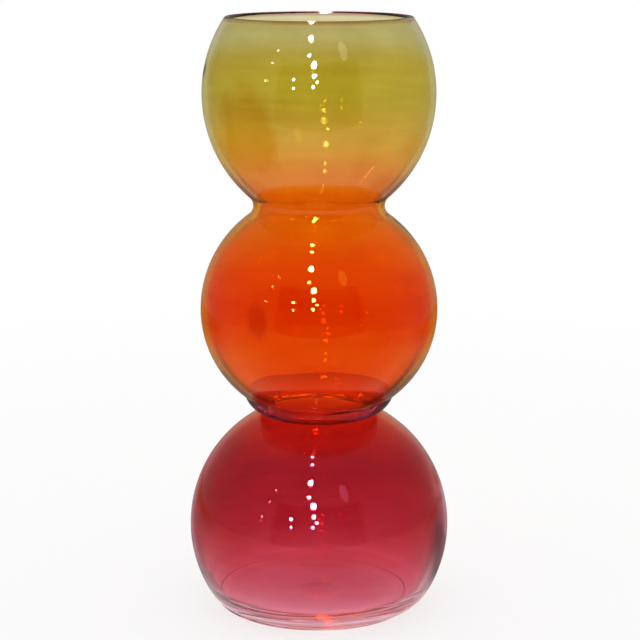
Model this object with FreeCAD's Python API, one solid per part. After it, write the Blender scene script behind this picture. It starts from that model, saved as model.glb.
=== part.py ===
import FreeCAD, Part
import math
import os
from collections import namedtuple

# Triple gourd vase of blown glass: three coloured globes joined rim to rim, with a glass collar
# laid over the lower seam. Millimetres, +Z up, origin at the centre of the foot, on the table.
# Every wall is a surface of revolution, drawn as touching arcs in the (r, z) plane.

# Bottom globe: girth is its widest ring, and the arc radius is that of its outline above and below
bottom_girth_radius = 67.0
bottom_girth_height = 43.9
bottom_arc_radius = 66.6
bottom_wall = 3.2

# Foot and base of the bottom globe
heel_radius = 22.0
base_thickness = 8.0
inner_heel_radius = 18.0
pontil_radius = 12.0
pontil_depth = 0.8

# Middle globe: it tapers more below its girth than above it
middle_girth_radius = 60.4
middle_lower_arc_radius = 56.0
middle_upper_arc_radius = 59.5
middle_wall = 2.8

# Top globe: its arcs are flatter than a sphere of its girth, and the mouth is the clear opening
top_girth_radius = 58.5
top_lower_arc_radius = 68.2
top_upper_arc_radius = 68.2
top_wall = 2.6
mouth_radius = 44.6

# Waists: radius and wall at the narrowest ring, and the fillet that rounds the outside there
lower_waist_radius = 27.0
lower_waist_wall = 3.9
lower_waist_fillet = 1.0
upper_waist_radius = 33.2
upper_waist_wall = 3.3
upper_waist_fillet = 6.1

# Collar over the lower seam: how far it reaches out from the waist on each globe, and its bead
collar_upper_reach = 11.2
collar_lower_reach = 2.5
collar_bead_radius = 14.0

Circle = namedtuple("Circle", "r z radius")


def arc_circle(girth_radius, girth_height, arc_radius):
    """The circle of a globe's arc, whose widest point is the girth."""
    return Circle(girth_radius - arc_radius, girth_height, arc_radius)


def inside(circle, wall):
    """The same circle, one wall thickness further in."""
    return Circle(circle.r, circle.z, circle.radius - wall)


def waist_rise(globe_girth, arc_radius, waist_radius, fillet):
    """The height between a globe's girth and the narrowest ring of the waist next to it."""
    arc_centre = globe_girth - arc_radius
    return math.sqrt((arc_radius + fillet) ** 2 - (waist_radius + fillet - arc_centre) ** 2)


def throat_circle(below, above, throat):
    """The circle that touches both circles from outside, with its nearest point to the axis at throat."""
    below_depth = below.r + below.radius - throat
    above_depth = above.r + above.radius - throat
    below_reach = below.radius - below.r + throat
    above_reach = above.radius - above.r + throat
    apart = above.z - below.z
    lean = 1 - above_depth / below_depth
    spare = apart ** 2 - above_depth * (above_reach - below_reach)
    rise = spare / (apart + math.sqrt(apart ** 2 - lean * spare))
    radius = (rise ** 2 / below_depth - below_reach) / 2
    return Circle(throat + radius, below.z + rise, radius)


def heel_circle(globe, radius, floor):
    """The circle that rests on the floor height and touches the globe's circle from inside."""
    centre_z = floor + radius
    reach = globe.radius - radius
    centre_r = globe.r + math.sqrt(reach ** 2 - (globe.z - centre_z) ** 2)
    return Circle(centre_r, centre_z, radius)


def outside_touch(circle, fillet):
    """The point where a fillet touches a circle from outside."""
    share = circle.radius / (circle.radius + fillet.radius)
    return (circle.r + share * (fillet.r - circle.r), circle.z + share * (fillet.z - circle.z))


def inside_touch(circle, heel):
    """The point where a smaller circle touches a circle from inside."""
    share = circle.radius / (circle.radius - heel.radius)
    return (circle.r + share * (heel.r - circle.r), circle.z + share * (heel.z - circle.z))


def rise_at(circle, reach):
    """How far above or below its centre a circle is, at this distance from the axis."""
    return math.sqrt(circle.radius ** 2 - (reach - circle.r) ** 2)


def vector(point):
    """A section point (r, z) in the XZ plane."""
    return FreeCAD.Vector(point[0], 0, point[1])


def line(start, end):
    """A straight edge between two section points."""
    return Part.LineSegment(vector(start), vector(end)).toShape()


def arc(circle, start, end):
    """The shorter arc of a circle from one of its points to another."""
    out_r = (start[0] + end[0]) / 2 - circle.r
    out_z = (start[1] + end[1]) / 2 - circle.z
    share = circle.radius / math.hypot(out_r, out_z)
    halfway = (circle.r + share * out_r, circle.z + share * out_z)
    return Part.Arc(vector(start), vector(halfway), vector(end)).toShape()


def turned(edges):
    """The solid that a closed section makes when it turns about the vase's axis."""
    section = Part.Face(Part.Wire(edges))
    return section.revolve(FreeCAD.Vector(0, 0, 0), FreeCAD.Vector(0, 0, 1), 360)


# Heights from the table up: each waist and girth follows from the one below it
lower_waist_height = bottom_girth_height + waist_rise(
    bottom_girth_radius, bottom_arc_radius, lower_waist_radius, lower_waist_fillet)
middle_girth_height = lower_waist_height + waist_rise(
    middle_girth_radius, middle_lower_arc_radius, lower_waist_radius, lower_waist_fillet)
upper_waist_height = middle_girth_height + waist_rise(
    middle_girth_radius, middle_upper_arc_radius, upper_waist_radius, upper_waist_fillet)
top_girth_height = upper_waist_height + waist_rise(
    top_girth_radius, top_lower_arc_radius, upper_waist_radius, upper_waist_fillet)

# Outer circles, the hollows inside them, and the fillets and throats between them
bottom_outer = arc_circle(bottom_girth_radius, bottom_girth_height, bottom_arc_radius)
middle_low = arc_circle(middle_girth_radius, middle_girth_height, middle_lower_arc_radius)
middle_high = arc_circle(middle_girth_radius, middle_girth_height, middle_upper_arc_radius)
top_low = arc_circle(top_girth_radius, top_girth_height, top_lower_arc_radius)
top_high = arc_circle(top_girth_radius, top_girth_height, top_upper_arc_radius)
bottom_hollow = inside(bottom_outer, bottom_wall)
middle_low_hollow = inside(middle_low, middle_wall)
middle_high_hollow = inside(middle_high, middle_wall)
top_low_hollow = inside(top_low, top_wall)
top_high_hollow = inside(top_high, top_wall)
lower_fillet = Circle(lower_waist_radius + lower_waist_fillet, lower_waist_height, lower_waist_fillet)
upper_fillet = Circle(upper_waist_radius + upper_waist_fillet, upper_waist_height, upper_waist_fillet)
lower_throat = throat_circle(bottom_hollow, middle_low_hollow, lower_waist_radius - lower_waist_wall)
upper_throat = throat_circle(middle_high_hollow, top_low_hollow, upper_waist_radius - upper_waist_wall)

# Each seam crosses the wall from the narrowest ring outside to the narrowest ring inside
lower_seam_outside = (lower_waist_radius, lower_waist_height)
lower_seam_inside = (lower_throat.r - lower_throat.radius, lower_throat.z)
upper_seam_outside = (upper_waist_radius, upper_waist_height)
upper_seam_inside = (upper_throat.r - upper_throat.radius, upper_throat.z)


def bottom_globe():
    """Ruby globe: ground pontil spot, flat foot, rounded heel, wall, seam face, hollow and floor."""
    heel = heel_circle(bottom_outer, heel_radius, 0)
    inner_heel = heel_circle(bottom_hollow, inner_heel_radius, base_thickness)
    heel_top = inside_touch(bottom_outer, heel)
    inner_heel_top = inside_touch(bottom_hollow, inner_heel)
    shoulder = outside_touch(bottom_outer, lower_fillet)
    inner_shoulder = outside_touch(bottom_hollow, lower_throat)
    foot_edge = (heel.r, 0)
    floor_edge = (inner_heel.r, base_thickness)
    floor_centre = (0, base_thickness)
    pontil_edge = (pontil_radius, 0)
    pontil_top = (0, pontil_depth)
    pontil_sphere = (pontil_radius ** 2 + pontil_depth ** 2) / (2 * pontil_depth)
    pontil = Circle(0, pontil_depth - pontil_sphere, pontil_sphere)
    return turned([
        arc(pontil, pontil_top, pontil_edge),
        line(pontil_edge, foot_edge),
        arc(heel, foot_edge, heel_top),
        arc(bottom_outer, heel_top, shoulder),
        arc(lower_fillet, shoulder, lower_seam_outside),
        line(lower_seam_outside, lower_seam_inside),
        arc(lower_throat, lower_seam_inside, inner_shoulder),
        arc(bottom_hollow, inner_shoulder, inner_heel_top),
        arc(inner_heel, inner_heel_top, floor_edge),
        line(floor_edge, floor_centre),
        line(floor_centre, pontil_top),
    ])


def middle_globe():
    """Orange globe, open at both ends, with a seam face at each end."""
    girth = (middle_girth_radius, middle_girth_height)
    inner_girth = (middle_girth_radius - middle_wall, middle_girth_height)
    low_turn = outside_touch(middle_low, lower_fillet)
    high_turn = outside_touch(middle_high, upper_fillet)
    inner_low_turn = outside_touch(middle_low_hollow, lower_throat)
    inner_high_turn = outside_touch(middle_high_hollow, upper_throat)
    return turned([
        arc(lower_fillet, lower_seam_outside, low_turn),
        arc(middle_low, low_turn, girth),
        arc(middle_high, girth, high_turn),
        arc(upper_fillet, high_turn, upper_seam_outside),
        line(upper_seam_outside, upper_seam_inside),
        arc(upper_throat, upper_seam_inside, inner_high_turn),
        arc(middle_high_hollow, inner_high_turn, inner_girth),
        arc(middle_low_hollow, inner_girth, inner_low_turn),
        arc(lower_throat, inner_low_turn, lower_seam_inside),
        line(lower_seam_inside, lower_seam_outside),
    ])


def top_globe():
    """Chartreuse and amber globe: seam face, wall, and a lip that fire has rounded across the wall."""
    girth = (top_girth_radius, top_girth_height)
    inner_girth = (top_girth_radius - top_wall, top_girth_height)
    turn = outside_touch(top_low, upper_fillet)
    inner_turn = outside_touch(top_low_hollow, upper_throat)
    lip_radius = top_wall / 2
    lip_r = mouth_radius + lip_radius
    mid_wall = inside(top_high, lip_radius)
    lip_z = mid_wall.z + rise_at(mid_wall, lip_r)
    lip_step_r = lip_radius * (lip_r - mid_wall.r) / mid_wall.radius
    lip_step_z = lip_radius * (lip_z - mid_wall.z) / mid_wall.radius
    lip_outside = (lip_r + lip_step_r, lip_z + lip_step_z)
    lip_crown = (lip_r - lip_step_z, lip_z + lip_step_r)
    lip_inside = (lip_r - lip_step_r, lip_z - lip_step_z)
    lip = Part.Arc(vector(lip_outside), vector(lip_crown), vector(lip_inside)).toShape()
    return turned([
        arc(upper_fillet, upper_seam_outside, turn),
        arc(top_low, turn, girth),
        arc(top_high, girth, lip_outside),
        lip,
        arc(top_high_hollow, lip_inside, inner_girth),
        arc(top_low_hollow, inner_girth, inner_turn),
        arc(upper_throat, inner_turn, upper_seam_inside),
        line(upper_seam_inside, upper_seam_outside),
    ])


def lower_waist_collar():
    """Ring of glass that fills the lower crease and lies against both globes, with a rounded bead."""
    low_r = lower_waist_radius + collar_lower_reach
    high_r = lower_waist_radius + collar_upper_reach
    low = (low_r, bottom_outer.z + rise_at(bottom_outer, low_r))
    high = (high_r, middle_low.z - rise_at(middle_low, high_r))
    shoulder = outside_touch(bottom_outer, lower_fillet)
    underside = outside_touch(middle_low, lower_fillet)
    chord_r = high[0] - low[0]
    chord_z = high[1] - low[1]
    chord = math.hypot(chord_r, chord_z)
    inset = math.sqrt(collar_bead_radius ** 2 - (chord / 2) ** 2)
    bead_r = (low[0] + high[0]) / 2 - inset * chord_z / chord
    bead_z = (low[1] + high[1]) / 2 + inset * chord_r / chord
    bead = Circle(bead_r, bead_z, collar_bead_radius)
    return turned([
        arc(bead, low, high),
        arc(middle_low, high, underside),
        arc(lower_fillet, underside, lower_seam_outside),
        arc(lower_fillet, lower_seam_outside, shoulder),
        arc(bottom_outer, shoulder, low),
    ])


os.makedirs("parts", exist_ok=True)
for name, solid in (
    ("bottom_globe", bottom_globe()),
    ("middle_globe", middle_globe()),
    ("top_globe", top_globe()),
    ("lower_waist_collar", lower_waist_collar()),
):
    solid.exportStep(f"parts/{name}.step")
    print(name, "valid:", solid.isValid(), "volume:", round(solid.Volume, 1))
print("girth heights:", bottom_girth_height, round(middle_girth_height, 2), round(top_girth_height, 2))
print("waist heights:", round(lower_waist_height, 2), round(upper_waist_height, 2))
print("throats:", lower_throat, upper_throat)
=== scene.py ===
"""Triple gourd vase of hand-blown glass: three coloured globes and a collar over a waist."""

import sys
import logging
import math
from abc import ABC, abstractmethod
from collections.abc import Callable
from dataclasses import dataclass, field
from enum import Enum

import bpy
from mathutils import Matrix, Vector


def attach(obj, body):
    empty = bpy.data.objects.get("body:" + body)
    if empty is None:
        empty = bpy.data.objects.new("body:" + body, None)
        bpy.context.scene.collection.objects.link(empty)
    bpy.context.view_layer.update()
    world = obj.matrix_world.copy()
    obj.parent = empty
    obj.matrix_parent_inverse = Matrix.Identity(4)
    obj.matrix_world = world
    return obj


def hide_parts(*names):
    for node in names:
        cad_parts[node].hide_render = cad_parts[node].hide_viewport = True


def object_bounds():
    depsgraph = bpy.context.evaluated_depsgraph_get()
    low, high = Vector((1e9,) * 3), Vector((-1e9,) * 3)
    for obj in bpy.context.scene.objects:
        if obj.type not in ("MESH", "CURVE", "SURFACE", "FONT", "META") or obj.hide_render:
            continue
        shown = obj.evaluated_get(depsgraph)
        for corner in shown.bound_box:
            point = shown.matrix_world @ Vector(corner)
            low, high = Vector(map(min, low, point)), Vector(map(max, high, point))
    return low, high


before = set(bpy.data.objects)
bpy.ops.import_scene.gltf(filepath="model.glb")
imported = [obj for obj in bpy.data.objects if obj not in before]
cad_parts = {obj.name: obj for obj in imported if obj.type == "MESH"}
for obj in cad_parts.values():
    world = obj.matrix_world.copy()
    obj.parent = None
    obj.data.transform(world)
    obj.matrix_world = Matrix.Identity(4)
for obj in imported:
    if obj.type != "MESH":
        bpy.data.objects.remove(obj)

log = logging.getLogger("vase")

Point = tuple[float, float]
Seam = tuple[Point, Point]
Place = tuple[float, float, float]
Colour = tuple[float, float, float]
Model = bpy.types.Object
Material = bpy.types.Material
Tree = bpy.types.NodeTree
Socket = bpy.types.NodeSocket
ColourSteps = tuple[tuple[float, Colour], ...]

MM = 0.001
CAD_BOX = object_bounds()

SPIN_STEPS = 240
OUTLINE_STEP = 1.3 * MM
UPPER_WAIST_STEP = 0.8 * MM
LOWER_THROAT_STEP = 0.5 * MM
LOWER_FILLET_STEP = 0.3 * MM
HEEL_STEP = 0.45 * MM
INNER_HEEL_STEP = 0.6 * MM
FLOOR_STEP = 3 * MM
LIP_STEP = 0.25 * MM
BEAD_STEP = 0.5 * MM
MERGE_DISTANCE = 0.001 * MM
ON_SURFACE = 0.06 * MM
SHARP_EDGE = math.radians(35)

CLEAR = (1.0, 1.0, 1.0)
WHITE = (*CLEAR, 1.0)
FACING_BLEND = 0.5
MAX_BOUNCES = 64
GLASS_BOUNCES = 48
SEAM_BOUNCES = 24


@dataclass(frozen=True)
class Circle:
    """A circle in the section plane, by its centre (r, z) and its radius, in metres."""

    r: float
    z: float
    radius: float

    def rise_at(self, reach: float) -> float:
        """How far above or below its centre the circle is, at this distance from the axis."""
        return math.sqrt(self.radius ** 2 - (reach - self.r) ** 2)

    def inside(self, wall: float) -> "Circle":
        """The same circle, one wall thickness further in."""
        return Circle(self.r, self.z, self.radius - wall)

    def towards(self, other: "Circle", share: float) -> Point:
        """The point at this share of the way from this centre to another one."""
        return (self.r + share * (other.r - self.r), self.z + share * (other.z - self.z))

    def outside_touch(self, fillet: "Circle") -> Point:
        """The point where a fillet touches this circle from outside."""
        return self.towards(fillet, self.radius / (self.radius + fillet.radius))

    def inside_touch(self, heel: "Circle") -> Point:
        """The point where a smaller circle touches this one from inside."""
        return self.towards(heel, self.radius / (self.radius - heel.radius))

    def holds(self, point: Point) -> bool:
        """Whether a point lies on the circle, within the slack of a faceted surface."""
        return abs(math.hypot(point[0] - self.r, point[1] - self.z) - self.radius) < ON_SURFACE


@dataclass
class Outline:
    """The outline of a wall in the section plane, built point by point from where it starts."""

    points: list[Point]

    def line(self, end: Point, step: float = OUTLINE_STEP) -> "Outline":
        """Adds a straight run.

        Args:
            end: Where the run ends.
            step: The longest distance between its points.

        Returns:
            The outline itself, for the next run.
        """
        start = self.points[-1]
        count = max(1, math.ceil(math.dist(start, end) / step))
        for turn in range(1, count + 1):
            share = turn / count
            self.points.append((start[0] + share * (end[0] - start[0]),
                                start[1] + share * (end[1] - start[1])))
        return self

    def arc(self, circle: Circle, end: Point, step: float = OUTLINE_STEP) -> "Outline":
        """Adds the shorter arc of a circle.

        Args:
            circle: The circle that the arc follows.
            end: Where the arc ends, on the circle.
            step: The longest distance between its points.

        Returns:
            The outline itself, for the next run.
        """
        start = self.points[-1]
        from_angle = math.atan2(start[1] - circle.z, start[0] - circle.r)
        to_angle = math.atan2(end[1] - circle.z, end[0] - circle.r)
        sweep = (to_angle - from_angle + math.pi) % math.tau - math.pi
        count = max(2, math.ceil(abs(sweep) * circle.radius / step))
        for turn in range(1, count):
            angle = from_angle + sweep * turn / count
            self.points.append((circle.r + circle.radius * math.cos(angle),
                                circle.z + circle.radius * math.sin(angle)))
        self.points.append(end)
        return self


@dataclass(frozen=True)
class Globe:
    """One blown globe, by the sizes of its outline: a girth and an arc above and below it."""

    girth_radius: float
    lower_arc: float
    upper_arc: float
    wall: float
    girth_height: float = 0.0

    def raised(self, height: float) -> "Globe":
        """The same globe with its girth at a height."""
        return Globe(self.girth_radius, self.lower_arc, self.upper_arc, self.wall, height)

    def low(self) -> Circle:
        """The circle of its outline below the girth."""
        return Circle(self.girth_radius - self.lower_arc, self.girth_height, self.lower_arc)

    def high(self) -> Circle:
        """The circle of its outline above the girth."""
        return Circle(self.girth_radius - self.upper_arc, self.girth_height, self.upper_arc)

    def low_hollow(self) -> Circle:
        """The circle of its hollow below the girth."""
        return self.low().inside(self.wall)

    def high_hollow(self) -> Circle:
        """The circle of its hollow above the girth."""
        return self.high().inside(self.wall)

    def girth(self) -> Point:
        """The outline's widest point."""
        return (self.girth_radius, self.girth_height)

    def inner_girth(self) -> Point:
        """The hollow's widest point."""
        return (self.girth_radius - self.wall, self.girth_height)


@dataclass(frozen=True)
class Waist:
    """The narrow ring where two globes are joined: its radius, its wall and its outer fillet."""

    radius: float
    wall: float
    fillet: float
    height: float = 0.0

    def raised(self, height: float) -> "Waist":
        """The same waist at a height."""
        return Waist(self.radius, self.wall, self.fillet, height)

    def rise(self, circle: Circle) -> float:
        """The height between a globe's girth and this waist, for the arc that leads to it."""
        reach = self.radius + self.fillet - circle.r
        return math.sqrt((circle.radius + self.fillet) ** 2 - reach ** 2)

    def circle(self) -> Circle:
        """The circle of the outer fillet."""
        return Circle(self.radius + self.fillet, self.height, self.fillet)

    def seam(self, throat: Circle) -> Seam:
        """The outer and inner end of the seam across the wall, from the inner fillet."""
        return (self.radius, self.height), (throat.r - throat.radius, throat.z)

    def throat(self, below: Circle, above: Circle) -> Circle:
        """Fits the inner fillet, which touches both hollows and leaves the waist its wall.

        Args:
            below: The circle of the hollow below the waist.
            above: The circle of the hollow above it.

        Returns:
            The circle of the inner fillet.
        """
        reach = self.radius - self.wall
        below_depth = below.r + below.radius - reach
        above_depth = above.r + above.radius - reach
        below_reach = below.radius - below.r + reach
        above_reach = above.radius - above.r + reach
        apart = above.z - below.z
        lean = 1 - above_depth / below_depth
        spare = apart ** 2 - above_depth * (above_reach - below_reach)
        rise = spare / (apart + math.sqrt(apart ** 2 - lean * spare))
        radius = (rise ** 2 / below_depth - below_reach) / 2
        return Circle(reach + radius, below.z + rise, radius)


@dataclass(frozen=True)
class Foot:
    """The base of the bottom globe: its heel, its thickness and the ground pontil spot."""

    heel_radius: float = 22.0 * MM
    thickness: float = 8.0 * MM
    inner_heel_radius: float = 18.0 * MM
    pontil_radius: float = 12.0 * MM
    pontil_depth: float = 0.8 * MM

    def heel(self, globe: Circle, radius: float, floor: float) -> Circle:
        """The circle that stands on a floor height and touches the globe's circle from inside."""
        reach, centre_z = globe.radius - radius, floor + radius
        return Circle(globe.r + math.sqrt(reach ** 2 - (globe.z - centre_z) ** 2), centre_z, radius)

    def pontil(self) -> Circle:
        """The sphere of the shallow ground spot."""
        sphere = (self.pontil_radius ** 2 + self.pontil_depth ** 2) / (2 * self.pontil_depth)
        return Circle(0.0, self.pontil_depth - sphere, sphere)


@dataclass
class VaseShape:
    """The vase's section: every girth and waist height follows from the one below it."""

    foot: Foot = Foot()
    bottom: Globe = Globe(67.0 * MM, 66.6 * MM, 66.6 * MM, 3.2 * MM, girth_height=43.9 * MM)
    lower_waist: Waist = Waist(27.0 * MM, 3.9 * MM, 1.0 * MM)
    middle: Globe = Globe(60.4 * MM, 56.0 * MM, 59.5 * MM, 2.8 * MM)
    upper_waist: Waist = Waist(33.2 * MM, 3.3 * MM, 6.1 * MM)
    top: Globe = Globe(58.5 * MM, 68.2 * MM, 68.2 * MM, 2.6 * MM)
    mouth_radius: float = 44.6 * MM
    collar_upper_reach: float = 11.2 * MM
    collar_lower_reach: float = 2.5 * MM
    collar_bead: float = 14.0 * MM
    lower_throat: Circle = field(init=False)
    upper_throat: Circle = field(init=False)
    lower_seam: Seam = field(init=False)
    upper_seam: Seam = field(init=False)
    collar_low: Point = field(init=False)
    collar_high: Point = field(init=False)

    def __post_init__(self) -> None:
        """Stacks the globes on the foot, then fits the seams and the collar's edges."""
        lower, upper = self.lower_waist, self.upper_waist
        shoulder = self.bottom.high()
        self.lower_waist = lower.raised(self.bottom.girth_height + lower.rise(shoulder))
        self.middle = self.middle.raised(self.lower_waist.height + lower.rise(self.middle.low()))
        self.upper_waist = upper.raised(self.middle.girth_height + upper.rise(self.middle.high()))
        self.top = self.top.raised(self.upper_waist.height + upper.rise(self.top.low()))
        self.lower_throat = lower.throat(self.bottom.high_hollow(), self.middle.low_hollow())
        self.upper_throat = upper.throat(self.middle.high_hollow(), self.top.low_hollow())
        self.lower_seam = self.lower_waist.seam(self.lower_throat)
        self.upper_seam = self.upper_waist.seam(self.upper_throat)
        underside = self.middle.low()
        low_reach = lower.radius + self.collar_lower_reach
        high_reach = lower.radius + self.collar_upper_reach
        self.collar_low = (low_reach, shoulder.z + shoulder.rise_at(low_reach))
        self.collar_high = (high_reach, underside.z - underside.rise_at(high_reach))

    def under_collar(self, globe: Circle, point: Point) -> bool:
        """Whether a section point is under the collar, on this circle of a globe or the fillet."""
        beside = self.collar_low[1] < point[1] < self.collar_high[1]
        return beside and (globe.holds(point) or self.lower_waist.circle().holds(point))


SHAPE = VaseShape()


class Facing(Enum):
    """The material slots of a piece, by what its faces meet."""

    GLASS = 0
    FUSED = 1


def smooth_share(value: float, start: float, end: float) -> float:
    """How far a value is from start to end, from 0 to 1, with soft ends."""
    share = min(max((value - start) / (end - start), 0.0), 1.0)
    return share * share * (3 - 2 * share)


def spun(name: str, outline: Outline) -> Model:
    """Draws an outline by extruding one vertex, and spins it round the vase's axis.

    Args:
        name: The piece's name.
        outline: The outline, closed or with both ends on the axis.

    Returns:
        The closed piece at the origin, with its normals outwards.
    """
    bpy.ops.object.select_all(action="DESELECT")
    bpy.ops.mesh.primitive_plane_add(size=OUTLINE_STEP)
    piece = bpy.context.object
    piece.name = name
    piece.data.name = name
    bpy.ops.object.mode_set(mode="EDIT")
    bpy.ops.mesh.select_all(action="SELECT")
    bpy.ops.mesh.merge(type="CENTER")
    start = outline.points[0]
    bpy.ops.transform.translate(value=(start[0], 0, start[1]))
    for here, there in zip(outline.points, outline.points[1:]):
        step = (there[0] - here[0], 0, there[1] - here[1])
        bpy.ops.mesh.extrude_region_move(TRANSFORM_OT_translate={"value": step})
    bpy.ops.mesh.select_all(action="SELECT")
    bpy.ops.mesh.spin(steps=SPIN_STEPS, angle=math.tau, center=(0, 0, 0), axis=(0, 0, 1))
    bpy.ops.mesh.select_all(action="SELECT")
    bpy.ops.mesh.remove_doubles(threshold=MERGE_DISTANCE)
    bpy.ops.mesh.normals_make_consistent(inside=False)
    bpy.ops.object.mode_set(mode="OBJECT")
    bpy.ops.object.shade_smooth_by_angle(angle=SHARP_EDGE)
    return piece


def on_seam(seam: Seam, point: Point) -> bool:
    """Whether a section point lies on the straight way between the two ends of a seam."""
    way = math.dist(seam[0], point) + math.dist(point, seam[1])
    return way < math.dist(*seam) + ON_SURFACE


@dataclass(frozen=True)
class HandWork:
    """The slight unevenness of a wall blown by hand: long soft waves, always into the glass."""

    wave_depth: float = 0.12 * MM
    wave_length: float = 26.0 * MM
    calm_core: float = 0.5 * MM
    calm_reach: float = 9.0 * MM

    def displace(self, piece: Model, share: Callable[[Point], float], **settings: object) -> None:
        """Moves a piece's surface by a modifier, and applies it.

        Args:
            piece: The piece.
            share: Gives the share of the move that a section point gets.
            **settings: The modifier's own settings.
        """
        group = piece.vertex_groups.new(name="share")
        for vertex in piece.data.vertices:
            weight = share((math.hypot(vertex.co.x, vertex.co.y), vertex.co.z))
            if weight > 0:
                group.add([vertex.index], weight, "REPLACE")
        modifier = piece.modifiers.new("displace", "DISPLACE")
        for name, setting in {**settings, "vertex_group": group.name}.items():
            setattr(modifier, name, setting)
        bpy.ops.object.select_all(action="DESELECT")
        piece.select_set(True)
        bpy.context.view_layer.objects.active = piece
        bpy.ops.object.modifier_apply(modifier=modifier.name)
        piece.vertex_groups.clear()

    def wave(self, piece: Model, calm_heights: tuple[float, ...]) -> None:
        """Waves a piece's walls, but not near its seams and its foot.

        Args:
            piece: The piece.
            calm_heights: The heights near which it keeps its true shape.
        """
        def share(point: Point) -> float:
            """The share of the waves that a section point gets."""
            return math.prod(smooth_share(abs(point[1] - calm), self.calm_core, self.calm_reach)
                             for calm in calm_heights)

        texture = bpy.data.textures.new(f"{piece.name}_waves", "CLOUDS")
        texture.noise_scale = self.wave_length
        texture.noise_depth = 1
        self.displace(piece, share, texture=texture, texture_coords="LOCAL",
                      mid_level=1.0, strength=self.wave_depth)

    def lean(self, piece: Model, shift: float, share: Callable[[Point], float]) -> None:
        """Moves part of a piece along X, as where a hollow was blown off centre."""
        self.displace(piece, share, direction="X", mid_level=0.0, strength=shift)


class Net:
    """Adds nodes to a node tree, each with its settings, its values and its links."""

    def __init__(self, tree: Tree) -> None:
        """Works on one tree."""
        self.tree = tree

    def add(self, kind: str, values: dict[str | int, object] | None = None,
            **settings: object) -> bpy.types.Node:
        """Adds a node.

        Args:
            kind: The node's type.
            values: For each input, the value or the socket that feeds it.
            **settings: The node's own settings.

        Returns:
            The node.
        """
        node = self.tree.nodes.new(kind)
        for name, setting in settings.items():
            setattr(node, name, setting)
        for name, value in (values or {}).items():
            if isinstance(value, Socket):
                self.tree.links.new(value, node.inputs[name])
            else:
                node.inputs[name].default_value = value
        return node

    def math(self, operation: str, *terms: object) -> Socket:
        """One step of arithmetic on sockets or numbers."""
        return self.add("ShaderNodeMath", dict(enumerate(terms)), operation=operation).outputs[0]

    def span(self, value: Socket, start: float, end: float,
             low: float = 0.0, high: float = 1.0) -> Socket:
        """A value of the range from start to end, brought to low to high with soft ends."""
        values = {"Value": value, "From Min": start, "From Max": end, "To Min": low, "To Max": high}
        return self.add("ShaderNodeMapRange", values, interpolation_type="SMOOTHSTEP").outputs[0]

    def between(self, share: object, low: object, high: object) -> Socket:
        """A number between two others."""
        return self.add("ShaderNodeMix", {0: share, 2: low, 3: high}).outputs[0]

    def blend(self, share: object, base: object, other: object, way: str = "MIX") -> Socket:
        """A colour laid over another one."""
        mix = {0: share, 6: base, 7: other}
        return self.add("ShaderNodeMix", mix, data_type="RGBA", blend_type=way).outputs[2]

    def noise(self, place: object, scale: float, detail: float) -> Socket:
        """The soft noise at a place."""
        values = {"Vector": place, "Scale": scale, "Detail": detail}
        return self.add("ShaderNodeTexNoise", values).outputs["Fac"]

    def split(self, place: object) -> bpy.types.NodeOutputs:
        """The X, Y and Z of a vector."""
        return self.add("ShaderNodeSeparateXYZ", {0: place}).outputs

    def length(self, place: object) -> Socket:
        """The length of a vector."""
        return self.add("ShaderNodeVectorMath", {0: place}, operation="LENGTH").outputs["Value"]

    def place(self) -> Socket:
        """The Object coordinates."""
        return self.add("ShaderNodeTexCoord").outputs["Object"]

    def ramped(self, value: Socket, steps: ColourSteps) -> Socket:
        """Turns a value into a colour.

        Args:
            value: The value, as a height or a distance.
            steps: The values and their colours, from the lowest up.

        Returns:
            The colour.
        """
        low, high = steps[0][0], steps[-1][0]
        share = self.add("ShaderNodeMapRange", {"Value": value, "From Min": low, "From Max": high})
        ramp = self.add("ShaderNodeValToRGB", {"Fac": share.outputs["Result"]})
        stops = ramp.color_ramp.elements
        while len(stops) < len(steps):
            stops.new(0.5)
        for stop, (step, _) in zip(stops, steps):
            stop.position = (step - low) / (high - low)
        for stop, (_, colour) in zip(stops, steps):
            stop.color = (*colour, 1.0)
        return ramp.outputs["Color"]


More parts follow.
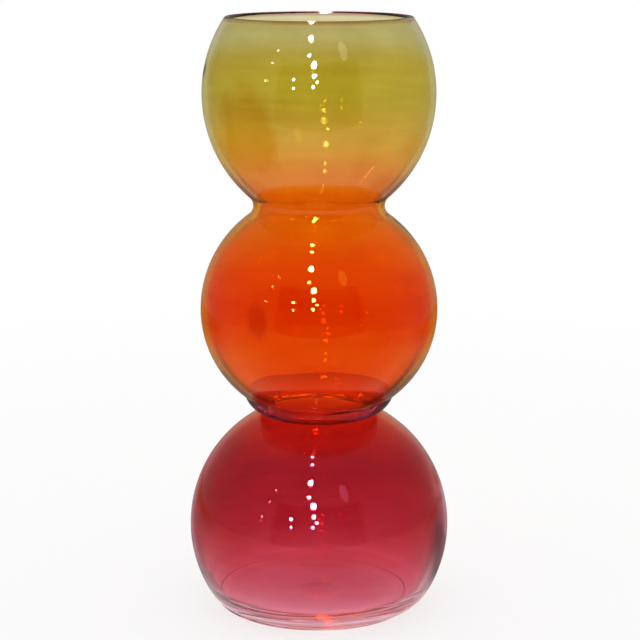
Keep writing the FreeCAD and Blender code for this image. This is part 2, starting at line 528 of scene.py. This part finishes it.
@dataclass(frozen=True)
class BlownMarks:
    """The marks of hand-blown glass: streaks and clouds in its colour, waves and seeds on it.

    A range gives the noise where a mark begins and is full, and how strong it is at both.
    """

    streak_scale: Place = (11.0, 11.0, 150.0)
    streaks: tuple[float, ...] = (0.35, 0.75, 0.0, 0.22)
    cloud_scale: float = 34.0
    clouds: tuple[float, ...] = (0.4, 0.75, 0.0, 0.2)
    wave_scale: float = 48.0
    seed_scale: float = 90.0
    seeds: tuple[float, ...] = (0.05, 0.015)
    seedless_share: float = 0.62
    seed_rise: float = 1.2
    relief: float = 0.05 * MM

    def group(self) -> Tree:
        """Makes the node group that every glass of the vase uses.

        Returns:
            The group, with a tint and a normal that change over the surface.
        """
        group = bpy.data.node_groups.new("blown_marks", "ShaderNodeTree")
        for name, way, kind in (("Place", "INPUT", "NodeSocketVector"),
                                ("Tint", "INPUT", "NodeSocketColor"),
                                ("Tint", "OUTPUT", "NodeSocketColor"),
                                ("Normal", "OUTPUT", "NodeSocketVector")):
            group.interface.new_socket(name, in_out=way, socket_type=kind)
        net = Net(group)
        given = net.add("NodeGroupInput").outputs
        place, tint = given["Place"], given["Tint"]
        drawn = net.add("ShaderNodeMapping", {"Vector": place, "Scale": self.streak_scale})
        streaks = net.noise(drawn.outputs[0], scale=1.0, detail=3.0)
        clouds = net.noise(place, self.cloud_scale, detail=2.0)
        streaked = net.blend(net.span(streaks, *self.streaks), tint, tint, "MULTIPLY")
        clouded = net.blend(net.span(clouds, *self.clouds), streaked, tint, "MULTIPLY")
        waves = net.noise(place, self.wave_scale, detail=1.0)
        cells = net.add("ShaderNodeTexVoronoi", {"Vector": place, "Scale": self.seed_scale}).outputs
        chosen = net.math("GREATER_THAN", cells["Color"], self.seedless_share)
        seeds = net.math("MULTIPLY", net.span(cells["Distance"], *self.seeds), chosen)
        height = net.math("MULTIPLY_ADD", seeds, self.seed_rise, waves)
        bump = net.add("ShaderNodeBump", {
            "Height": height, "Strength": 1.0, "Distance": self.relief})
        net.add("NodeGroupOutput", {"Tint": clouded, "Normal": bump.outputs[0]})
        return group


@dataclass(frozen=True)
class TintPatch:
    """A soft ragged patch whose colour multiplies the tint: its middle and half sizes on the wall,
    its tint.
    """

    middle: Place
    reach: Place
    tint: Colour
    grain: float = 1.6
    raggedness: float = 0.9
    edge: tuple[float, float] = (1.4, 1.0)

    def over(self, net: Net, base: Socket) -> Socket:
        """Lays the patch over a colour, with a soft ragged edge.

        Args:
            net: The node tree of the glass.
            base: The colour under the patch.

        Returns:
            The colour with the patch.
        """
        around = net.add("ShaderNodeMapping", {
            "Vector": net.place(), "Location": self.middle, "Scale": self.reach},
            vector_type="TEXTURE").outputs[0]
        ragged = net.noise(around, self.grain, detail=3.0)
        edge = net.math("MULTIPLY_ADD", ragged, self.raggedness, net.length(around))
        return net.blend(net.span(edge, *self.edge), base, (*self.tint, 1.0), "MULTIPLY")


@dataclass(frozen=True)
class Finish:
    """A coloured glass: the tint of one wall by height, and a painted tone at the edge of the view.

    The painted rim is a colour painted where a wall is seen edge on, in place of the reflections
    and shade seen there. The limb shade is painted shade that darkens it further, by height, mostly
    near the waists and the heel.
    """

    name: str
    tints: ColourSteps
    # Painted reflection and shade where a wall is seen edge on, and painted shade on the limbs by
    # height.
    painted_rim: Colour
    limb_shade: ColourSteps = ()
    tint_patches: tuple[TintPatch, ...] = ()
    sheen: Colour = CLEAR
    painted_rim_from: float = 0.72
    painted_rim_to: float = 0.96
    limb_shade_from: float = 0.65
    limb_shade_to: float = 0.78
    ior: float = 1.5

    def by_height(self, net: Net, steps: ColourSteps) -> Socket:
        """A tint by Object height."""
        return net.ramped(net.split(net.place())["Z"], steps)

    def material(self, marks: Tree) -> Material:
        """Makes the glass material.

        Args:
            marks: The node group of the marks of hand-blown glass.

        Returns:
            The material.
        """
        material = bpy.data.materials.new(self.name)
        material.use_nodes = True
        net = Net(material.node_tree)
        tint = self.by_height(net, self.tints)
        for patch in self.tint_patches:
            tint = patch.over(net, tint)
        blown = net.add("ShaderNodeGroup", {"Place": net.place(), "Tint": tint}, node_tree=marks)
        # Painted rim and limb shade: where the wall is seen edge on the tint turns to the painted
        # rim colour, then the limb shade darkens it by height.
        facing = net.add("ShaderNodeLayerWeight", {"Blend": FACING_BLEND}).outputs["Facing"]
        edge_painted = net.blend(net.span(facing, self.painted_rim_from, self.painted_rim_to),
                          blown.outputs["Tint"], (*self.painted_rim, 1.0))
        if self.limb_shade:
            edge_painted = net.blend(net.span(facing, self.limb_shade_from, self.limb_shade_to),
                              edge_painted, self.by_height(net, self.limb_shade), "MULTIPLY")
        shader = material.node_tree.nodes["Principled BSDF"]
        shader.inputs["Transmission Weight"].default_value = 1.0
        shader.inputs["Roughness"].default_value = 0.0
        shader.inputs["IOR"].default_value = self.ior
        shader.inputs["Specular Tint"].default_value = (*self.sheen, 1.0)
        net.tree.links.new(edge_painted, shader.inputs["Base Color"])
        net.tree.links.new(blown.outputs["Normal"], shader.inputs["Normal"])
        return material


class Tint(Enum):
    """The glasses of the vase, as the share of light that one wall lets through."""

    WATER = (0.99, 0.76, 0.84)
    BLUSH = (0.96, 0.46, 0.58)
    ROSE = (0.86, 0.39, 0.47)
    RASPBERRY = (0.73, 0.19, 0.24)
    CLARET = (0.65, 0.105, 0.14)
    RUBY = (0.575, 0.068, 0.10)
    SCARLET = (0.78, 0.13, 0.05)
    BLOOD_RED = (0.88, 0.06, 0.015)
    EMBER = (0.90, 0.16, 0.02)
    VERMILION = (0.86, 0.165, 0.02)
    TANGERINE = (0.90, 0.31, 0.02)
    FLAME = (0.88, 0.36, 0.02)
    TAWNY = (0.86, 0.38, 0.09)
    APRICOT = (0.86, 0.54, 0.17)
    AMBER = (0.79, 0.60, 0.20)
    CHARTREUSE = (0.70, 0.61, 0.16)
    SAGE = (0.71, 0.67, 0.39)
    LIP_BROWN = (0.50, 0.36, 0.27)


def bands(*steps: tuple[float, Tint | Colour]) -> ColourSteps:
    """Colours by height, from heights in millimetres with a named tint or a colour each."""
    return tuple((height * MM, step.value if isinstance(step, Tint) else step)
                 for height, step in steps)


RUBY_GLASS = Finish(
    "ruby_glass",
    bands((0.0, Tint.WATER), (1, Tint.BLUSH), (7, Tint.BLUSH), (7.8, Tint.WATER),
          (8.4, Tint.WATER), (10, Tint.BLUSH), (14, Tint.ROSE), (27, Tint.RASPBERRY),
          (42, Tint.CLARET), (56, Tint.RUBY), (87, Tint.RUBY), (98, Tint.SCARLET),
          (102, Tint.SCARLET), (104.5, Tint.BLOOD_RED)),
    # Painted rim and limb shade: a pink rim, and dark limbs above the heel.
    painted_rim=(0.97, 0.56, 0.82),
    limb_shade=bands((9, CLEAR), (14, (0.6, 0.5, 0.55)), (24, (0.12, 0.12, 0.14)), (35, CLEAR)),
    sheen=(1.0, 0.35, 0.65))
ORANGE_GLASS = Finish(
    "orange_glass",
    bands((105, Tint.EMBER), (114, Tint.EMBER), (125, Tint.TANGERINE), (130, Tint.TANGERINE),
          (150, Tint.VERMILION), (168, Tint.VERMILION), (188, Tint.TANGERINE),
          (200, Tint.FLAME), (211, Tint.FLAME)),
    # Painted rim and limb shade: an orange rim, and dark limbs near both waists.
    painted_rim=(1.0, 0.42, 0.03),
    limb_shade=bands((121, (0.06, 0.06, 1.0)), (128, (0.12, 0.10, 1.0)), (141, CLEAR),
                (165, (1.0, 0.85, 0.9)), (187, (0.9, 0.5, 1.0)), (197, (0.6, 0.4, 1.0)),
                (208, (0.7, 0.42, 1.0))),
    tint_patches=(TintPatch((-30 * MM, -52 * MM, 161 * MM), (7 * MM, 12 * MM, 11 * MM), (0.85, 0.5, 0.9)),),
    sheen=(1.0, 0.65, 0.06))
CHARTREUSE_GLASS = Finish(
    "chartreuse_glass",
    bands((210, Tint.FLAME), (213.5, Tint.FLAME), (215.5, Tint.TAWNY), (222, Tint.TAWNY),
          (230, Tint.APRICOT), (244, Tint.AMBER), (264, Tint.CHARTREUSE),
          (283, Tint.CHARTREUSE), (293, Tint.SAGE), (302.8, Tint.SAGE), (303.6, Tint.LIP_BROWN)),
    # Painted rim and limb shade: a grey rim, and dark limbs near the waist.
    painted_rim=(0.82, 0.70, 0.42),
    limb_shade=bands((213, (0.5, 0.22, 1.0)), (221, (0.12, 0.08, 1.0)), (228, (0.5, 0.4, 1.0)),
                (238, CLEAR)),
    tint_patches=(TintPatch((-34 * MM, -44 * MM, 249 * MM), (21 * MM, 30 * MM, 30 * MM),
                  (0.93, 0.79, 0.10)),),
    sheen=(1.0, 0.95, 0.8))
COLLAR_GLASS = Finish(
    "collar_glass",
    bands((103, (0.78, 0.03, 0.008)), (105.5, (0.66, 0.012, 0.004)), (108, (0.55, 0.006, 0.002)),
          (113, (0.46, 0.005, 0.003))),
    # Painted shade: a near-black rim that darkens the collar's ends.
    painted_rim=(0.03, 0.004, 0.012), painted_rim_from=0.32, painted_rim_to=0.7, sheen=(1.0, 0.1, 0.05), ior=1.2)


def fused_material() -> Material:
    """Makes the seam inside melted glass, where light goes on as if there were no surface.

    Returns:
        The material.
    """
    material = bpy.data.materials.new("fused_seam")
    material.use_nodes = True
    nodes, links = material.node_tree.nodes, material.node_tree.links
    nodes.remove(nodes["Principled BSDF"])
    clear = nodes.new("ShaderNodeBsdfTransparent")
    links.new(clear.outputs[0], nodes["Material Output"].inputs["Surface"])
    return material


@dataclass
class VasePiece(ABC):
    """One piece: its name, the CAD node that it stands for, its slot, glass and hand work."""

    name: str
    node: str
    slot: str
    glass: Finish
    hand: HandWork = HandWork()

    @abstractmethod
    def outline(self) -> Outline:
        """The closed section of the piece."""

    @abstractmethod
    def is_fused(self, point: Point) -> bool:
        """Whether the face at a section point meets another piece."""

    def unevenness(self, piece: Model) -> None:
        """Shapes what the hand leaves uneven, which is nothing unless the piece says so."""

    def dress(self, piece: Model, glass: Material, fused: Material) -> None:
        """Gives the piece its glass, and the fused material where it is melted to a neighbour.

        Args:
            piece: The piece.
            glass: The material of its free surface.
            fused: The material of the faces that meet another piece.
        """
        piece.data.materials.append(glass)
        piece.data.materials.append(fused)
        for face in piece.data.polygons:
            point = (math.hypot(face.center.x, face.center.y), face.center.z)
            face.material_index = (Facing.FUSED if self.is_fused(point) else Facing.GLASS).value

    def build(self, marks: Tree, fused: Material) -> Model:
        """Builds and dresses the piece.

        Args:
            marks: The node group of the marks of hand-blown glass.
            fused: The material of the faces that meet another piece.

        Returns:
            The finished piece.
        """
        piece = spun(self.name, self.outline())
        self.dress(piece, self.glass.material(marks), fused)
        self.unevenness(piece)
        return piece


@dataclass
class BottomGlobe(VasePiece):
    """The ruby globe with the thick base, the flat foot and the pontil spot."""

    name: str = "ruby_globe"
    node: str = "bottom_globe"
    slot: str = "ruby_glass"
    glass: Finish = RUBY_GLASS
    hollow_shift: float = -1.3 * MM
    underside: float = 2 * MM
    full_shift_below: float = 40 * MM
    no_shift_above: float = 85 * MM

    def outline(self) -> Outline:
        """Draws the section from the pontil's crown, round the wall, to the middle of the floor.

        Returns:
            The outline, with both ends on the axis.
        """
        foot, outer, hollow = SHAPE.foot, SHAPE.bottom.low(), SHAPE.bottom.low_hollow()
        heel = foot.heel(outer, foot.heel_radius, 0.0)
        inner_heel = foot.heel(hollow, foot.inner_heel_radius, foot.thickness)
        fillet, throat = SHAPE.lower_waist.circle(), SHAPE.lower_throat
        seam_outer, seam_inner = SHAPE.lower_seam
        outline = Outline([(0.0, foot.pontil_depth)])
        outline.arc(foot.pontil(), (foot.pontil_radius, 0.0)).line((heel.r, 0.0))
        outline.arc(heel, outer.inside_touch(heel), HEEL_STEP).arc(outer, SHAPE.collar_low)
        outline.arc(outer, outer.outside_touch(fillet)).arc(fillet, seam_outer, LOWER_FILLET_STEP)
        outline.line(seam_inner).arc(throat, hollow.outside_touch(throat), LOWER_THROAT_STEP)
        outline.arc(hollow, hollow.inside_touch(inner_heel))
        outline.arc(inner_heel, (inner_heel.r, foot.thickness), INNER_HEEL_STEP)
        return outline.line((0.0, foot.thickness), FLOOR_STEP)

    def in_hollow(self, point: Point) -> float:
        """Gives the share of the hollow's sideways shift.

        Args:
            point: A section point.

        Returns:
            None of it outside and at the foot's underside, and less and less up the shoulder.
        """
        wall = SHAPE.bottom.high().inside(SHAPE.bottom.wall / 2)
        outside = math.hypot(point[0] - wall.r, point[1] - wall.z) > wall.radius
        if outside or point[1] < self.underside:
            return 0.0
        return 1 - smooth_share(point[1], self.full_shift_below, self.no_shift_above)

    def is_fused(self, point: Point) -> bool:
        """Whether the face at a section point is in the seam or under the collar."""
        return SHAPE.under_collar(SHAPE.bottom.high(), point) or on_seam(SHAPE.lower_seam, point)

    def unevenness(self, piece: Model) -> None:
        """Leans the hollow and waves the walls."""
        self.hand.lean(piece, self.hollow_shift, self.in_hollow)
        self.hand.wave(piece, (0.0, SHAPE.lower_waist.height))


@dataclass
class MiddleGlobe(VasePiece):
    """The orange globe, open at both ends."""

    name: str = "orange_globe"
    node: str = "middle_globe"
    slot: str = "orange_glass"
    glass: Finish = ORANGE_GLASS

    def outline(self) -> Outline:
        """Draws the section from the lower seam up the outside and down the inside.

        Returns:
            The closed outline.
        """
        globe = SHAPE.middle
        low, high = globe.low(), globe.high()
        low_hollow, high_hollow = globe.low_hollow(), globe.high_hollow()
        lower_fillet, upper_fillet = SHAPE.lower_waist.circle(), SHAPE.upper_waist.circle()
        lower_outer, lower_inner = SHAPE.lower_seam
        upper_outer, upper_inner = SHAPE.upper_seam
        outline = Outline([lower_outer])
        outline.arc(lower_fillet, low.outside_touch(lower_fillet), LOWER_FILLET_STEP)
        outline.arc(low, SHAPE.collar_high).arc(low, globe.girth())
        outline.arc(high, high.outside_touch(upper_fillet))
        outline.arc(upper_fillet, upper_outer, UPPER_WAIST_STEP).line(upper_inner)
        outline.arc(SHAPE.upper_throat, high_hollow.outside_touch(SHAPE.upper_throat))
        outline.arc(high_hollow, globe.inner_girth())
        outline.arc(low_hollow, low_hollow.outside_touch(SHAPE.lower_throat))
        return outline.arc(SHAPE.lower_throat, lower_inner, LOWER_THROAT_STEP).line(lower_outer)

    def is_fused(self, point: Point) -> bool:
        """Whether the face at a section point is in one of the seams or under the collar."""
        in_seam = on_seam(SHAPE.lower_seam, point) or on_seam(SHAPE.upper_seam, point)
        return in_seam or SHAPE.under_collar(SHAPE.middle.low(), point)

    def unevenness(self, piece: Model) -> None:
        """Waves the walls."""
        self.hand.wave(piece, (SHAPE.lower_waist.height, SHAPE.upper_waist.height))


@dataclass
class TopGlobe(VasePiece):
    """The chartreuse and amber globe with the mouth and the fire-polished lip."""

    name: str = "chartreuse_globe"
    node: str = "top_globe"
    slot: str = "chartreuse_glass"
    glass: Finish = CHARTREUSE_GLASS

    def outline(self) -> Outline:
        """Draws the section from the seam up the outside, over the lip and down the inside.

        Returns:
            The closed outline.
        """
        globe = SHAPE.top
        low, high = globe.low(), globe.high()
        low_hollow, high_hollow = globe.low_hollow(), globe.high_hollow()
        fillet = SHAPE.upper_waist.circle()
        seam_outer, seam_inner = SHAPE.upper_seam
        lip_radius = globe.wall / 2
        mid_wall = high.inside(lip_radius)
        lip_r = SHAPE.mouth_radius + lip_radius
        lip = Circle(lip_r, mid_wall.z + mid_wall.rise_at(lip_r), lip_radius)
        step_r = lip_radius * (lip.r - mid_wall.r) / mid_wall.radius
        step_z = lip_radius * (lip.z - mid_wall.z) / mid_wall.radius
        outline = Outline([seam_outer])
        outline.arc(fillet, low.outside_touch(fillet), UPPER_WAIST_STEP).arc(low, globe.girth())
        outline.arc(high, (lip.r + step_r, lip.z + step_z))
        outline.arc(lip, (lip.r - step_z, lip.z + step_r), LIP_STEP)
        outline.arc(lip, (lip.r - step_r, lip.z - step_z), LIP_STEP)
        outline.arc(high_hollow, globe.inner_girth())
        outline.arc(low_hollow, low_hollow.outside_touch(SHAPE.upper_throat))
        return outline.arc(SHAPE.upper_throat, seam_inner, UPPER_WAIST_STEP).line(seam_outer)

    def is_fused(self, point: Point) -> bool:
        """Whether the face at a section point is in the seam."""
        return on_seam(SHAPE.upper_seam, point)

    def unevenness(self, piece: Model) -> None:
        """Waves the walls."""
        self.hand.wave(piece, (SHAPE.upper_waist.height,))


@dataclass
class Collar(VasePiece):
    """The ring of dark glass that fills the crease of the lower waist."""

    name: str = "waist_collar"
    node: str = "lower_waist_collar"
    slot: str = "collar_glass"
    glass: Finish = COLLAR_GLASS

    def bead(self) -> Circle:
        """Fits the rounded face, which bulges out from the crease.

        Returns:
            Its circle, through both edges of the collar.
        """
        low, high = SHAPE.collar_low, SHAPE.collar_high
        chord = math.dist(low, high)
        inset = math.sqrt(SHAPE.collar_bead ** 2 - (chord / 2) ** 2)
        return Circle((low[0] + high[0]) / 2 - inset * (high[1] - low[1]) / chord,
                      (low[1] + high[1]) / 2 + inset * (high[0] - low[0]) / chord,
                      SHAPE.collar_bead)

    def outline(self) -> Outline:
        """Draws the bead, then the surfaces of the two globes that the collar lies on.

        Returns:
            The closed outline.
        """
        underside, shoulder = SHAPE.middle.low(), SHAPE.bottom.high()
        fillet = SHAPE.lower_waist.circle()
        outline = Outline([SHAPE.collar_low])
        outline.arc(self.bead(), SHAPE.collar_high, BEAD_STEP)
        outline.arc(underside, underside.outside_touch(fillet))
        outline.arc(fillet, SHAPE.lower_seam[0], LOWER_FILLET_STEP)
        outline.arc(fillet, shoulder.outside_touch(fillet), LOWER_FILLET_STEP)
        return outline.arc(shoulder, SHAPE.collar_low)

    def is_fused(self, point: Point) -> bool:
        """Whether the face at a section point lies on one of the globes."""
        return not self.bead().holds(point)


@dataclass(frozen=True)
class Room:
    """How bright the room is that the glass mirrors, from 0 to 1, and where its parts begin.

    A part begins at the first number of its range and is full at the second. Both are the Y of a
    level direction one long, or its X for the right. Through is for light out of the glass.
    """

    sides: float = 0.45
    back: float = 0.3
    front: float = 0.02
    around_through: float = 0.75
    front_through: float = 0.45
    front_top: float = math.radians(30)
    front_top_blur: float = 0.02
    front_range: tuple[float, float] = (-math.cos(math.radians(45)), -math.cos(math.radians(39)))
    back_range: tuple[float, float] = (-0.1, 0.5)
    right_range: tuple[float, float] = (0.4, 0.65)
    wall_colour: Colour = (1.0, 0.88, 0.66)
    table: float = 0.8
    table_front: ColourSteps = ((0.1, (1.0, 0.88, 0.85)), (0.3, (1.0, 0.76, 0.45)))
    table_back: ColourSteps = ((0.3, (1.0, 0.84, 0.8)), (0.5, (1.0, 0.5, 0.12)),
                               (0.9, (1.0, 0.5, 0.12)), (1.15, (1.0, 0.97, 0.7)))
    shade: float = 0.22
    shade_reach: float = 0.3

    def sectors(self) -> Tree:
        """Makes the group that tells the parts of the room apart.

        Returns:
            The group: a direction, or a place on the table, as being in front, behind or right.
        """
        group = bpy.data.node_groups.new("room_sides", "ShaderNodeTree")
        group.interface.new_socket("Vector", in_out="INPUT", socket_type="NodeSocketVector")
        for name in ("Front", "Back", "Right"):
            group.interface.new_socket(name, in_out="OUTPUT", socket_type="NodeSocketFloat")
        net = Net(group)
        given = net.add("NodeGroupInput").outputs["Vector"]
        flat = net.add("ShaderNodeVectorMath", {0: given, 1: (1, 1, 0)}, operation="MULTIPLY")
        unit = net.add("ShaderNodeVectorMath", {0: flat.outputs[0]}, operation="NORMALIZE")
        split = net.split(unit.outputs[0])
        net.add("NodeGroupOutput", {"Front": net.span(split["Y"], *self.front_range),
                                    "Back": net.span(split["Y"], *self.back_range),
                                    "Right": net.span(split["X"], *self.right_range)})
        return group

    def levels(self, net: Net, sides: bpy.types.Node, lit: float) -> tuple[object, object]:
        """Gives the levels where light is mirrored outside or inside the glass.

        Args:
            net: The node tree.
            sides: The node that tells the sides apart.
            lit: The level to the left and right.

        Returns:
            The dark front's level and the rest's.
        """
        through = self.through(net)
        around = net.between(sides.outputs["Back"], lit, self.back)
        return (net.between(through, self.front, self.front_through),
                net.between(through, around, self.around_through))

    def through(self, net: Net) -> Socket:
        """Whether the light comes out of the glass."""
        depth = net.add("ShaderNodeLightPath").outputs["Transmission Depth"]
        return net.math("MINIMUM", depth, 1.0)


@dataclass(frozen=True)
class Table:
    """The pale floor that the vase stands on, and the table top that the glass mirrors there."""

    room: Room
    sectors: Tree
    size: float = 14.0
    drop: float = 0.1 * MM
    paper: tuple[float, ...] = (0.9, 0.9, 0.9, 1.0)
    shadow: float = 0.24
    shadow_reach: float = 0.9
    left: float = -0.75
    right: float = 0.65
    front: float = -0.57
    back: float = 1.6
    edge: float = 20 * MM

    def build(self) -> None:
        """Builds the floor and its material."""
        bpy.ops.object.select_all(action="DESELECT")
        bpy.ops.mesh.primitive_plane_add(size=self.size, location=(0, 0, -self.drop))
        floor = bpy.context.object
        floor.name = "floor"
        floor.data.materials.append(self.material())

    def mirrored(self, net: Net, reach: Socket) -> Socket:
        """Makes the table top and the dim room past it, as the glass mirrors them.

        Args:
            net: The node tree.
            reach: The distance from the vase.

        Returns:
            The shader of what is mirrored.
        """
        room, split = self.room, net.split(net.place())
        top = net.span(split["X"], self.left, self.left + self.edge)
        for axis, start, end in (("X", self.right, self.right - self.edge),
                                 ("Y", self.front, self.front + self.edge),
                                 ("Y", self.back, self.back - self.edge)):
            top = net.math("MULTIPLY", top, net.span(split[axis], start, end))
        ahead = net.add("ShaderNodeGroup", {"Vector": net.place()}, node_tree=self.sectors)
        sides = ahead.outputs
        front, around = room.levels(net, ahead, room.table)
        past = net.between(sides["Front"], room.levels(net, ahead, room.sides)[1], front)
        near = net.span(reach, room.shade_reach, room.shade_reach / 2)
        shaded = net.math("MULTIPLY", net.math("MULTIPLY", near, sides["Right"]), sides["Back"])
        around = net.between(shaded, around, room.shade)
        colour = net.blend(sides["Back"], net.ramped(reach, room.table_front),
                           net.ramped(reach, room.table_back))
        colour = net.blend(top, (*room.wall_colour, 1.0), colour)
        colour = net.blend(room.through(net), colour, WHITE)
        level = net.between(top, past, around)
        return net.add("ShaderNodeEmission", {"Color": colour, "Strength": level}).outputs[0]

    def material(self) -> Material:
        """Makes the floor's material.

        Returns:
            The material: the white floor where it is seen, the table where it is mirrored.
        """
        material = bpy.data.materials.new("floor")
        material.use_nodes = True
        net = Net(material.node_tree)
        net.tree.nodes.remove(net.tree.nodes["Principled BSDF"])
        reach = net.length(net.place())
        paper = net.add("ShaderNodeBsdfDiffuse", {"Color": self.paper}).outputs[0]
        glow = net.add("ShaderNodeEmission", {"Color": WHITE}).outputs[0]
        shadow = net.span(reach, self.shadow_reach, self.shadow_reach / 3, 0.0, self.shadow)
        seen = net.add("ShaderNodeMixShader", {"Fac": shadow, 1: glow, 2: paper}).outputs[0]
        path = net.add("ShaderNodeLightPath").outputs
        choice = net.add("ShaderNodeMixShader", {
            "Fac": path["Glossy Depth"], 1: seen, 2: self.mirrored(net, reach)})
        net.tree.links.new(choice.outputs[0], net.tree.nodes["Material Output"].inputs["Surface"])
        return material


@dataclass(frozen=True)
class Lamp:
    """A small ceiling lamp, by its direction from the vase and its half sizes four metres away."""

    azimuth: float
    elevation: float
    half_width: float
    half_height: float
    radiance: float = 300.0


LAMPS = (
    Lamp(-10.7, 50.0, 0.14, 0.19, 600.0), Lamp(-10.8, 36.5, 0.09, 0.09),
    Lamp(-5.4, 28.8, 0.16, 0.19, 600.0), Lamp(-5.0, 20.0, 0.12, 0.12),
    Lamp(-1.9, 15.2, 0.07, 0.07), Lamp(-5.7, 11.1, 0.09, 0.09),
    Lamp(-15.4, 67.7, 0.08, 0.08), Lamp(-20.0, 75.5, 0.09, 0.10),
    Lamp(-166.0, 76.0, 0.17, 0.13, 600.0), Lamp(177.0, 60.0, 0.07, 0.06),
    Lamp(-178.0, 45.7, 0.05, 0.05), Lamp(-50.5, 27.0, 0.05, 0.05, 25.0),
    Lamp(-53.5, 13.3, 0.06, 0.06, 25.0), Lamp(-25.0, 16.5, 0.08, 0.08),
    Lamp(-24.2, 9.8, 0.06, 0.07), Lamp(-48.5, 37.0, 0.05, 0.05, 25.0),
    Lamp(28.0, 39.0, 0.26, 0.55, 1.4))


@dataclass(frozen=True)
class Studio:
    """The white surround, the dimmer room that the glass mirrors, and its small lamps."""

    room: Room
    sectors: Tree
    lamp_distance: float = 4.0

    def world(self) -> None:
        """Sets the world: white where seen past or through the glass, the room where mirrored."""
        world = bpy.data.worlds.new("studio")
        bpy.context.scene.world = world
        world.use_nodes = True
        net = Net(world.node_tree)
        direction = net.add("ShaderNodeTexCoord").outputs["Generated"]
        height = net.split(direction)["Z"]
        ahead = net.add("ShaderNodeGroup", {"Vector": direction}, node_tree=self.sectors)
        top, blur = math.sin(self.room.front_top), self.room.front_top_blur
        below = net.span(height, top + blur, top - blur)
        low = net.math("MULTIPLY", ahead.outputs["Front"], below)
        path = net.add("ShaderNodeLightPath").outputs
        front, around = self.room.levels(net, ahead, self.room.sides)
        level = net.between(low, around, front)
        mirrored = net.math("MINIMUM", path["Glossy Depth"], 1.0)
        outer = net.math("SUBTRACT", mirrored, self.room.through(net))
        colour = net.blend(outer, WHITE, (*self.room.wall_colour, 1.0))
        backdrop = net.tree.nodes["Background"]
        net.tree.links.new(colour, backdrop.inputs["Color"])
        net.tree.links.new(net.between(mirrored, 1.0, level), backdrop.inputs["Strength"])

    def hang(self, number: int, lamp: Lamp) -> None:
        """Adds one lamp, which only the glass mirrors.

        Args:
            number: Its number in the list.
            lamp: Its place and size.
        """
        light = bpy.data.lights.new(f"lamp_{number}", "AREA")
        light.shape = "ELLIPSE"
        light.size, light.size_y = 2 * lamp.half_width, 2 * lamp.half_height
        light.energy = lamp.radiance * math.pi ** 2 * lamp.half_width * lamp.half_height
        piece = bpy.data.objects.new(light.name, light)
        bpy.context.scene.collection.objects.link(piece)
        side, rise = math.radians(lamp.azimuth), math.radians(lamp.elevation)
        reach = self.lamp_distance * math.cos(rise)
        centre = (CAD_BOX[0] + CAD_BOX[1]) / 2
        piece.location = (centre.x + reach * math.sin(side), centre.y - reach * math.cos(side),
                          centre.z + self.lamp_distance * math.sin(rise))
        piece.rotation_euler = (centre - piece.location).to_track_quat("-Z", "Y").to_euler()
        piece.visible_camera = False
        piece.visible_diffuse = False

    def build(self) -> None:
        """Sets the world and hangs the lamps."""
        self.world()
        for number, lamp in enumerate(LAMPS):
            self.hang(number, lamp)


@dataclass(frozen=True)
class Camera:
    """The camera at the photograph's viewing angle."""

    side: float = 0.5 * MM
    distance: float = 945.3 * MM
    height: float = 356.06 * MM
    aim_height: float = 151.35 * MM
    lens: float = 106.47
    sensor: float = 36.0

    def build(self) -> None:
        """Builds the camera and makes it the scene's."""
        data = bpy.data.cameras.new("camera")
        data.lens = self.lens
        data.sensor_width = self.sensor
        camera = bpy.data.objects.new("camera", data)
        bpy.context.scene.collection.objects.link(camera)
        tilt = math.atan2(self.height - self.aim_height, self.distance)
        camera.location = (self.side, -self.distance, self.height)
        camera.rotation_euler = (math.pi / 2 - tilt, 0, 0)
        bpy.context.scene.camera = camera


def set_view() -> None:
    """Sets the view transform and how many surfaces light may pass."""
    scene = bpy.context.scene
    scene.view_settings.view_transform = "Standard"
    scene.cycles.max_bounces = MAX_BOUNCES
    scene.cycles.transmission_bounces = GLASS_BOUNCES
    scene.cycles.glossy_bounces = GLASS_BOUNCES
    scene.cycles.transparent_max_bounces = SEAM_BOUNCES


def main() -> None:
    """Builds the camera, the studio and every piece in order, and reports each piece."""
    logging.basicConfig(level=logging.INFO, format="%(name)s: %(message)s", stream=sys.stdout)
    set_view()
    Camera().build()
    room = Room()
    sectors = room.sectors()
    Table(room, sectors).build()
    Studio(room, sectors).build()
    marks, fused = BlownMarks().group(), fused_material()
    for maker in (BottomGlobe(), MiddleGlobe(), TopGlobe(), Collar()):
        piece = maker.build(marks, fused)
        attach(piece, "root")
        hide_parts(maker.node)
        log.info("%s: %d faces, stands for %s", piece.name, len(piece.data.polygons), maker.node)


if __name__ == "__main__":
    main()
